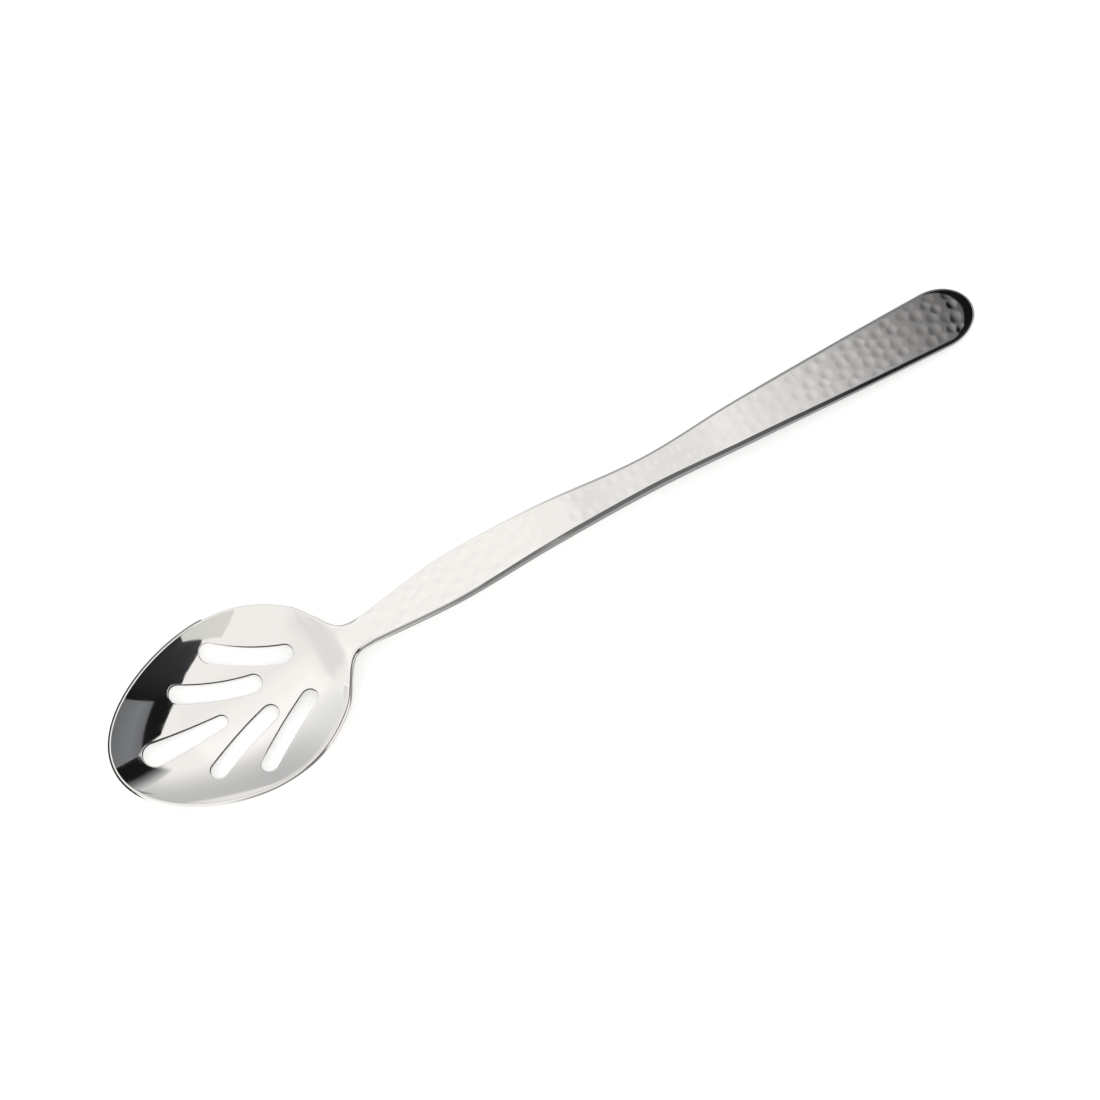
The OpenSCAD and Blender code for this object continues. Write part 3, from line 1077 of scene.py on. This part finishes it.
@dataclass
class HandleShell:
    """One of the two pressed shells of the hollow handle."""

    side: ShellSide
    finish: SteelFinish
    form: HandleForm = field(default_factory=HandleForm)
    wall: float = 0.9
    weld_gap: float = 0.003
    tip_cut: float = 0.004
    nose_solid: float = 6.0
    step: float = 0.45
    wall_steps: int = 3
    edge_steps: int = 12
    face_steps: int = 56
    belly_steps: int = 48

    def along(self) -> Array:
        """Stations from the weld to the tip, closing up round the end.

        Returns:
            Positions from the bowl tip, in rising order.
        """
        begin = self.form.bowl.neck_x + self.weld_gap
        straight = np.arange(begin, self.form.end_x, self.step)
        turn = np.linspace(0.0, np.pi / 2.0, 61)
        end = self.form.end_x + (self.form.end_run - self.tip_cut) * np.sin(turn)
        return np.concatenate([straight, end])

    def outer_upper(self, x: Array) -> Array:
        """Upper outline at each station: straight walls, eased edges and the hammered face.

        Args:
            x: Stations along the handle, shape (n,).

        Returns:
            Array of shape (n, columns, 3), from the -Y seam over the face to the +Y one.
        """
        form = self.form
        flat, half = form.flat_half(x)[:, None], form.half_width(x)[:, None]
        turn = np.linspace(0.0, np.pi / 2.0, self.edge_steps, endpoint=False)[None]
        edge_y = flat + (half - flat) * np.cos(turn)
        face_y = flat * np.linspace(-1.0, 1.0, self.face_steps + 1)[None]
        y = np.concatenate([-edge_y, face_y, edge_y[:, ::-1]], axis=1)
        z = form.face_z(np.broadcast_to(x[:, None], y.shape), y)
        rise = np.linspace(0.0, 1.0, self.wall_steps, endpoint=False)[None]
        seam, beside = form.seam_z(x)[:, None], np.repeat(half, self.wall_steps, axis=1)
        y = np.concatenate([-beside, y, beside], axis=1)
        left, right = mix(seam, z[:, :1], rise), mix(seam, z[:, -1:], rise)[:, ::-1]
        z = np.concatenate([left, z, right], axis=1)
        return np.stack([np.broadcast_to(x[:, None], y.shape), y, z], axis=-1)

    def outer_lower(self, x: Array) -> Array:
        """Lower outline at each station: half width cos a, depth sin^p a below the seam.

        Args:
            x: Stations along the handle, shape (n,).

        Returns:
            Array of shape (n, columns, 3), from the +Y seam under the belly to the -Y one.
        """
        form = self.form
        turn = np.linspace(0.0, np.pi, self.belly_steps + 1)[None]
        y = form.half_width(x)[:, None] * np.cos(turn)
        drop = np.clip(np.sin(turn), 0.0, 1.0) ** form.bowl.neck.belly_power
        z = form.seam_z(x)[:, None] - form.half_belly(x)[:, None] * drop - self.weld_gap
        return np.stack([np.broadcast_to(x[:, None], y.shape), y, z], axis=-1)

    def inner(self, x: Array) -> Array:
        """Inside of the shell at each station, as four points from the end of the outer line back.

        Args:
            x: Stations along the handle, shape (n,).

        Returns:
            Array of shape (n, 4, 3).
        """
        form, up = self.form, 1.0 if self.side is ShellSide.UPPER else -1.0
        half = form.half_width(x)
        wide = np.maximum(half - self.wall, half * 0.5)
        flat = np.maximum(form.flat_half(x) - self.wall, wide * 0.6) * (1.0 if up > 0.0 else 0.85)
        deep = form.half_thick(x) if up > 0.0 else form.half_belly(x)
        room = deep - self.wall - form.mark_depth
        room = np.where(x < OVERALL - self.nose_solid, np.maximum(room, 0.0), 0.0)
        level = form.seam_z(x) - (0.0 if up > 0.0 else self.weld_gap)
        y = np.stack([wide, flat, -flat, -wide], axis=1) * up
        z = np.stack([level, level + up * room, level + up * room, level], axis=1)
        return np.stack([np.broadcast_to(x[:, None], y.shape), y, z], axis=-1)

    def build(self) -> bpy.types.Object:
        """Builds the shell as one closed mesh, outer line one way and inner line back.

        Returns:
            The dressed piece.
        """
        x = self.along()
        upper = self.side is ShellSide.UPPER
        outer = self.outer_upper(x) if upper else self.outer_lower(x)
        inner = self.inner(x)
        draft = MeshDraft()
        outer_ids = draft.add_points(outer, grid_normals(outer))
        inner_ids = draft.add_points(inner, np.zeros_like(inner))
        draft.add_strip(outer_ids, closed=False)
        last_lip = np.stack([outer_ids[:, -1], inner_ids[:, 0]], axis=1)
        first_lip = np.stack([inner_ids[:, -1], outer_ids[:, 0]], axis=1)
        for block in (last_lip, inner_ids, first_lip):
            draft.add_strip(block, closed=False, hard=True)
        partner = np.round(np.linspace(3.0, 0.0, outer_ids.shape[1])).astype(int)
        for station, flip in ((0, False), (-1, True)):
            pair = np.stack([inner_ids[station][partner], outer_ids[station]], axis=0)
            quads = np.stack([pair[0, :-1], pair[1, :-1], pair[1, 1:], pair[0, 1:]], axis=-1)
            same = quads[:, 0] == quads[:, 3]
            for part, corners in ((quads[~same], slice(None)), (quads[same], slice(0, 3))):
                chosen = part[:, corners]
                draft.add_faces(chosen[:, ::-1] if flip else chosen, hard=True)
        made = draft.piece("handle_top_hammered" if upper else "handle_bottom_polished")
        made.data.materials.append(self.finish.material())
        return made


class ToneAxis(Enum):
    """Axis along which a panel's tone changes."""

    X = "X"
    Y = "Y"
    Z = "Z"


@dataclass(frozen=True)
class SoftEdge:
    """A border where a panel fades out: none of it at `clear` and all of it from `full` on."""

    axis: ToneAxis
    clear: float
    full: float


@dataclass(frozen=True)
class StudioPanel:
    """A flat panel of the light tent, seen only in the metal, with its tone along one axis."""

    name: str
    corners: Corners
    axis: ToneAxis
    tones: tuple[tuple[float, float], ...]
    edges: tuple[SoftEdge, ...] = ()
    tint: tuple[float, float, float] = (1.0, 1.0, 1.0)
    strength: float = 1.0

    def glow(self, tree: bpy.types.NodeTree, split: bpy.types.Node) -> bpy.types.Node:
        """Makes the light of the panel.

        Args:
            tree: Node tree of the panel's material.
            split: Node that gives the place on the panel.

        Returns:
            An emission whose tone runs through the stops along the axis.
        """
        along = tree.nodes.new("ShaderNodeMapRange")
        first, last = self.tones[0][0], self.tones[-1][0]
        along.inputs["From Min"].default_value = first
        along.inputs["From Max"].default_value = last
        ramp = tree.nodes.new("ShaderNodeValToRGB")
        while len(ramp.color_ramp.elements) < len(self.tones):
            ramp.color_ramp.elements.new(0.5)
        for stop, (at, tone) in zip(ramp.color_ramp.elements, self.tones):
            stop.position = (at - first) / (last - first)
            stop.color = (*(tone * part for part in self.tint), 1.0)
        light = tree.nodes.new("ShaderNodeEmission")
        light.inputs["Strength"].default_value = self.strength
        tree.links.new(split.outputs[self.axis.value], along.inputs["Value"])
        tree.links.new(along.outputs["Result"], ramp.inputs["Fac"])
        tree.links.new(ramp.outputs["Color"], light.inputs["Color"])
        return light

    def cover(self, tree: bpy.types.NodeTree, split: bpy.types.Node) -> bpy.types.NodeSocket | None:
        """Makes the share of the panel that is there.

        Args:
            tree: Node tree of the panel's material.
            split: Node that gives the place on the panel.

        Returns:
            The product of all soft borders, or None for a panel with hard ones.
        """
        share = None
        for edge in self.edges:
            fade = tree.nodes.new("ShaderNodeMapRange")
            fade.interpolation_type = "SMOOTHSTEP"
            fade.inputs["From Min"].default_value = edge.clear
            fade.inputs["From Max"].default_value = edge.full
            tree.links.new(split.outputs[edge.axis.value], fade.inputs["Value"])
            if share is None:
                share = fade.outputs["Result"]
                continue
            both = tree.nodes.new("ShaderNodeMath")
            both.operation = "MULTIPLY"
            tree.links.new(share, both.inputs[0])
            tree.links.new(fade.outputs["Result"], both.inputs[1])
            share = both.outputs[0]
        return share

    def build(self) -> bpy.types.Object:
        """Makes the panel from its corners, its tones and its soft borders.

        Returns:
            The stage object.
        """
        mesh = bpy.data.meshes.new(self.name)
        mesh.from_pydata(list(self.corners), [], [tuple(range(len(self.corners)))])
        made = bpy.data.objects.new(self.name, mesh)
        bpy.context.scene.collection.objects.link(made)
        shade = bpy.data.materials.new(self.name)
        shade.use_nodes = True
        tree = shade.node_tree
        tree.nodes.clear()
        place = tree.nodes.new("ShaderNodeTexCoord")
        split = tree.nodes.new("ShaderNodeSeparateXYZ")
        tree.links.new(place.outputs["Object"], split.inputs["Vector"])
        surface = self.glow(tree, split).outputs["Emission"]
        share = self.cover(tree, split)
        if share is not None:
            part = tree.nodes.new("ShaderNodeMixShader")
            tree.links.new(share, part.inputs["Fac"])
            gone = tree.nodes.new("ShaderNodeBsdfTransparent")
            tree.links.new(gone.outputs["BSDF"], part.inputs[1])
            tree.links.new(surface, part.inputs[2])
            surface = part.outputs["Shader"]
        output = tree.nodes.new("ShaderNodeOutputMaterial")
        tree.links.new(surface, output.inputs["Surface"])
        mesh.materials.append(shade)
        made.visible_camera = False
        made.visible_diffuse = False
        made.visible_shadow = False
        return made


NEAR_WALL_Y = -0.7
CARD_Z = 0.0001
ROOF_Z = 0.12
BLACK = 0.008
WARM = (1.0, 0.98, 0.95)
COOL = (0.95, 0.99, 1.04)
IVORY = (1.0, 0.995, 0.94)
PEARL = (1.0, 0.98, 0.97)


def near_wall(*spots: tuple[float, float]) -> Corners:
    """Corners of a panel on the near wall of the tent, from x and z."""
    return tuple((x, NEAR_WALL_Y, z) for x, z in spots)


def level_shape(z: float, *spots: tuple[float, float]) -> Corners:
    """Corners of a level panel, from x and y."""
    return tuple((x, y, z) for x, y in spots)


def flat_sheet(x0: float, x1: float, y0: float, y1: float, z: float) -> Corners:
    """Corners of a level oblong sheet."""
    return level_shape(z, (x0, y0), (x1, y0), (x1, y1), (x0, y1))


def standing(
    start: tuple[float, float], end: tuple[float, float], low: float, high: float
) -> Corners:
    """Corners of an upright panel between two plan points."""
    return ((*start, low), (*end, low), (*end, high), (*start, high))


def fade_x(clear: float, full: float) -> SoftEdge:
    """A border that fades along X."""
    return SoftEdge(ToneAxis.X, clear, full)


def fade_y(clear: float, full: float) -> SoftEdge:
    """A border that fades along Y."""
    return SoftEdge(ToneAxis.Y, clear, full)


def fade_z(clear: float, full: float) -> SoftEdge:
    """A border that fades along Z."""
    return SoftEdge(ToneAxis.Z, clear, full)


ROOF_PANELS = (
    StudioPanel(
        "overhead_sheet", flat_sheet(-2.5, 0.35, -0.5, 1.8, 1.1), ToneAxis.Y,
        ((-0.5, 0.88), (0.05, 0.87), (0.27, 0.94), (0.5, 1.0), (1.8, 1.0)),
        (fade_x(0.35, 0.15), fade_x(-2.5, -1.2), fade_y(-0.5, -0.2), fade_y(1.8, 1.0)),
        WARM, 1.1),
    StudioPanel(
        "handle_card", flat_sheet(0.05, 0.25, -0.03, 0.085, ROOF_Z), ToneAxis.X,
        ((0.05, 0.96), (0.078, 0.85), (0.1, 0.95), (0.15, 0.75), (0.185, 0.43), (0.218, 0.2),
         (0.25, 0.01)),
        (fade_x(0.05, 0.075), fade_y(-0.03, 0.0)), PEARL),
    StudioPanel(
        "side_card", flat_sheet(0.12, 0.25, 0.085, 0.35, ROOF_Z), ToneAxis.X,
        ((0.12, 0.4), (0.25, 0.01)), (fade_x(0.12, 0.15),)),
    StudioPanel(
        "nose_card", flat_sheet(0.25, 0.4, -0.13, 0.34, ROOF_Z), ToneAxis.X,
        ((0.25, BLACK), (0.36, BLACK))),
)
WALL_PANELS = (
    StudioPanel(
        "nose_flag", standing((0.35, -0.13), (0.35, 0.36), 0.0, ROOF_Z), ToneAxis.Z,
        ((0.0, BLACK), (ROOF_Z, BLACK))),
    StudioPanel(
        "near_strip", standing((-0.02, -0.06), (0.35, -0.06), 0.0, 0.065), ToneAxis.X,
        ((-0.02, 0.25), (0.03, 0.17), (0.1, 0.12), (0.14, 0.02), (0.35, 0.01)),
        (fade_x(-0.02, 0.03),)),
    StudioPanel(
        "black_wall",
        near_wall((-0.03, 0.3), (0.5, 0.3), (0.5, 1.62), (0.2, 1.2), (0.06, 0.92), (-0.09, 0.72),
                  (-0.16, 0.55), (-0.03, 0.42)),
        ToneAxis.X, ((-0.16, 0.05), (0.1, 0.03), (0.5, BLACK)), (), COOL),
    StudioPanel(
        "light_wall",
        near_wall((-0.51, 0.3), (-0.03, 0.3), (-0.03, 0.42), (-0.16, 0.55), (-0.3, 0.67)),
        ToneAxis.X, ((-0.51, 0.78), (-0.03, 0.72)), (), IVORY),
    StudioPanel(
        "low_wall", near_wall((-0.5, 0.0), (0.25, 0.0), (0.25, 0.3), (-0.5, 0.3)), ToneAxis.X,
        ((-0.5, 0.5), (-0.2, 0.32), (0.0, 0.22), (0.25, 0.2)),
        (fade_x(-0.5, -0.3), fade_x(0.25, 0.15))),
    StudioPanel(
        "grey_wall",
        ((0.5, NEAR_WALL_Y, 0.28), (0.83, 0.24, 0.28), (0.83, 0.24, 0.9), (0.79, 0.126, 1.08),
         (0.763, 0.05, 1.45), (0.5, NEAR_WALL_Y, 1.75)),
        ToneAxis.Z,
        ((0.28, 0.15), (0.5, 0.18), (0.75, 0.22), (0.96, 0.17), (1.0, 0.01), (1.75, 0.01)),
        (), COOL),
    StudioPanel(
        "black_corner", standing((0.83, 0.24), (0.62, 0.72), 0.28, 1.02), ToneAxis.Y,
        ((0.24, BLACK), (0.48, 0.01), (0.58, 0.22), (0.72, 0.7)), (fade_z(1.02, 0.86),)),
    StudioPanel(
        "left_wall", standing((-0.9, 0.6), (-0.9, -0.6), 0.0, 0.9), ToneAxis.Z,
        ((0.0, 0.78), (0.9, 0.95)),
        (fade_z(0.9, 0.45), fade_z(0.0, 0.3), fade_y(0.6, 0.3), fade_y(-0.6, -0.3)), WARM),
    StudioPanel(
        "far_wall", standing((0.62, 0.72), (-0.9, 0.75), 0.0, 0.9), ToneAxis.X,
        ((-0.9, 0.95), (-0.5, 0.8), (-0.3, 0.62), (-0.15, 0.55), (0.1, 0.58), (0.45, 0.58),
         (0.62, 0.5)),
        (fade_z(0.9, 0.08),)),
)
TABLE_CARDS = (
    StudioPanel(
        "grey_card", flat_sheet(-0.085, 0.5, -0.5, 0.012, CARD_Z), ToneAxis.Y,
        ((-0.5, 0.34), (0.012, 0.36)), (fade_x(-0.085, -0.06), fade_y(-0.5, -0.3))),
    StudioPanel(
        "far_card", flat_sheet(-0.02, 0.6, 0.012, 0.35, CARD_Z), ToneAxis.X,
        ((-0.02, 0.5), (0.1, 0.33), (0.2, 0.15), (0.6, 0.03)),
        (fade_x(-0.02, 0.06), fade_y(0.35, 0.25))),
    StudioPanel(
        "tip_card",
        level_shape(CARD_Z, (-0.45, 0.3), (-0.45, -0.05), (-0.19, -0.03), (-0.177, 0.0),
                    (-0.165, 0.022), (-0.145, 0.034), (-0.12, 0.038), (-0.12, 0.3)),
        ToneAxis.X, ((-0.45, 0.02), (-0.17, 0.03), (-0.12, 0.3))),
    # Painted shadow: a dark sheet under the bowl, seen only in the metal, stands in for the bowl's
    # shadow on the table.
    StudioPanel(
        "painted_bowl_shadow_card", flat_sheet(-0.16, -0.08, -0.024, 0.024, -CARD_Z), ToneAxis.X,
        ((-0.16, 0.05), (-0.08, 0.05)), (fade_y(-0.024, -0.016), fade_y(0.024, 0.016))),
)


@dataclass
class Studio:
    """Floor, light, panels and camera of the product shot."""

    floor_tone: float = 0.72
    floor_lift: float = 0.4
    floor_reach: float = 3.0
    floor_z: float = -0.0002
    lamp_place: Corner = (-0.15, -0.25, 1.3)
    lamp_size: float = 0.9
    lamp_power: float = 3.0
    lens: float = 86.71
    heading: float = 30.11
    elevation: float = 75.0
    distance: float = 0.9
    look_at: Corner = (-0.00587, -0.00681, 0.015)
    panels: tuple[StudioPanel, ...] = ROOF_PANELS + WALL_PANELS + TABLE_CARDS

    def floor(self) -> bpy.types.Object:
        """A pale table whose tone is lifted to white for the camera and for the metal.

        Returns:
            The stage object.
        """
        reach = self.floor_reach
        mesh = bpy.data.meshes.new("table")
        corners = flat_sheet(-reach, reach, -reach, reach, self.floor_z)
        mesh.from_pydata(list(corners), [], [(0, 1, 2, 3)])
        made = bpy.data.objects.new("table", mesh)
        bpy.context.scene.collection.objects.link(made)
        shade = bpy.data.materials.new("pale_table")
        shade.use_nodes = True
        tree = shade.node_tree
        tree.nodes.clear()
        matt = tree.nodes.new("ShaderNodeBsdfDiffuse")
        matt.inputs["Color"].default_value = (*(self.floor_tone,) * 3, 1.0)
        path = tree.nodes.new("ShaderNodeLightPath")
        seen = tree.nodes.new("ShaderNodeMath")
        seen.operation = "MAXIMUM"
        either = tree.nodes.new("ShaderNodeMath")
        either.operation = "MAXIMUM"
        strength = tree.nodes.new("ShaderNodeMath")
        strength.operation = "MULTIPLY"
        strength.inputs[1].default_value = self.floor_lift
        glow = tree.nodes.new("ShaderNodeEmission")
        both = tree.nodes.new("ShaderNodeAddShader")
        output = tree.nodes.new("ShaderNodeOutputMaterial")
        tree.links.new(path.outputs["Is Camera Ray"], seen.inputs[0])
        tree.links.new(path.outputs["Is Glossy Ray"], seen.inputs[1])
        tree.links.new(seen.outputs[0], either.inputs[0])
        tree.links.new(path.outputs["Is Transmission Ray"], either.inputs[1])
        tree.links.new(either.outputs[0], strength.inputs[0])
        tree.links.new(strength.outputs[0], glow.inputs["Strength"])
        tree.links.new(matt.outputs["BSDF"], both.inputs[0])
        tree.links.new(glow.outputs["Emission"], both.inputs[1])
        tree.links.new(both.outputs["Shader"], output.inputs["Surface"])
        mesh.materials.append(shade)
        return made

    def light(self) -> None:
        """A world, white to the camera and warm white to the metal, and one wide soft lamp."""
        world = bpy.data.worlds.new("white_studio")
        bpy.context.scene.world = world
        world.use_nodes = True
        tree = world.node_tree
        lit = tree.nodes["Background"]
        lit.inputs["Color"].default_value = (*WARM, 1.0)
        lit.inputs["Strength"].default_value = 1.0
        seen = tree.nodes.new("ShaderNodeBackground")
        seen.inputs["Color"].default_value = (1.0, 1.0, 1.0, 1.0)
        seen.inputs["Strength"].default_value = 1.0
        path = tree.nodes.new("ShaderNodeLightPath")
        either = tree.nodes.new("ShaderNodeMixShader")
        tree.links.new(path.outputs["Is Camera Ray"], either.inputs["Fac"])
        tree.links.new(lit.outputs["Background"], either.inputs[1])
        tree.links.new(seen.outputs["Background"], either.inputs[2])
        tree.links.new(either.outputs["Shader"], tree.nodes["World Output"].inputs["Surface"])
        lamp = bpy.data.lights.new("soft_lamp", "AREA")
        lamp.shape = "DISK"
        lamp.size = self.lamp_size
        lamp.energy = self.lamp_power
        holder = bpy.data.objects.new("soft_lamp", lamp)
        holder.matrix_world = Matrix.Translation(self.lamp_place)
        holder.visible_glossy = False
        bpy.context.scene.collection.objects.link(holder)

    def camera(self) -> None:
        """A long lens above the table, turned so that the spoon runs up to the right."""
        data = bpy.data.cameras.new("camera")
        data.lens = self.lens
        data.sensor_width = 36.0
        data.clip_start, data.clip_end = 0.01, 20.0
        turn, lift = np.radians(self.heading), np.radians(self.elevation)
        right = np.array([np.cos(turn), -np.sin(turn), 0.0])
        up = np.array([np.sin(turn) * np.sin(lift), np.cos(turn) * np.sin(lift), np.cos(lift)])
        back = np.cross(right, up)
        place = np.array(self.look_at) + back * self.distance
        rows = np.column_stack([right, up, back, place])
        holder = bpy.data.objects.new("camera", data)
        holder.matrix_world = Matrix([*rows.tolist(), [0.0, 0.0, 0.0, 1.0]])
        bpy.context.scene.collection.objects.link(holder)
        bpy.context.scene.camera = holder

    def build(self) -> None:
        """Sets up the table, the panels, the light, the camera and the plain view transform."""
        self.floor()
        for panel in self.panels:
            panel.build()
        self.light()
        self.camera()
        bpy.context.scene.view_settings.view_transform = "Standard"


def dress(piece: bpy.types.Object, node: str) -> None:
    """Hangs a piece on the root body and hides the solid of the frame that it stands for.

    Args:
        piece: The finished piece.
        node: The solid that it stands for.
    """
    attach(piece, "root")
    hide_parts(node)
    LOG.info("%s: %d faces for %s", piece.name, len(piece.data.polygons), node)


def main() -> None:
    """Builds the studio and the three pieces."""
    logging.basicConfig(level=logging.INFO, format="%(name)s: %(message)s")
    Studio().build()
    dress(SlottedBowl().build(), "slotted_bowl")
    dress(HandleShell(ShellSide.UPPER, HAMMERED).build(), ShellSide.UPPER.value)
    dress(HandleShell(ShellSide.LOWER, POLISHED).build(), ShellSide.LOWER.value)
    bpy.context.view_layer.update()


if __name__ == "__main__":
    main()
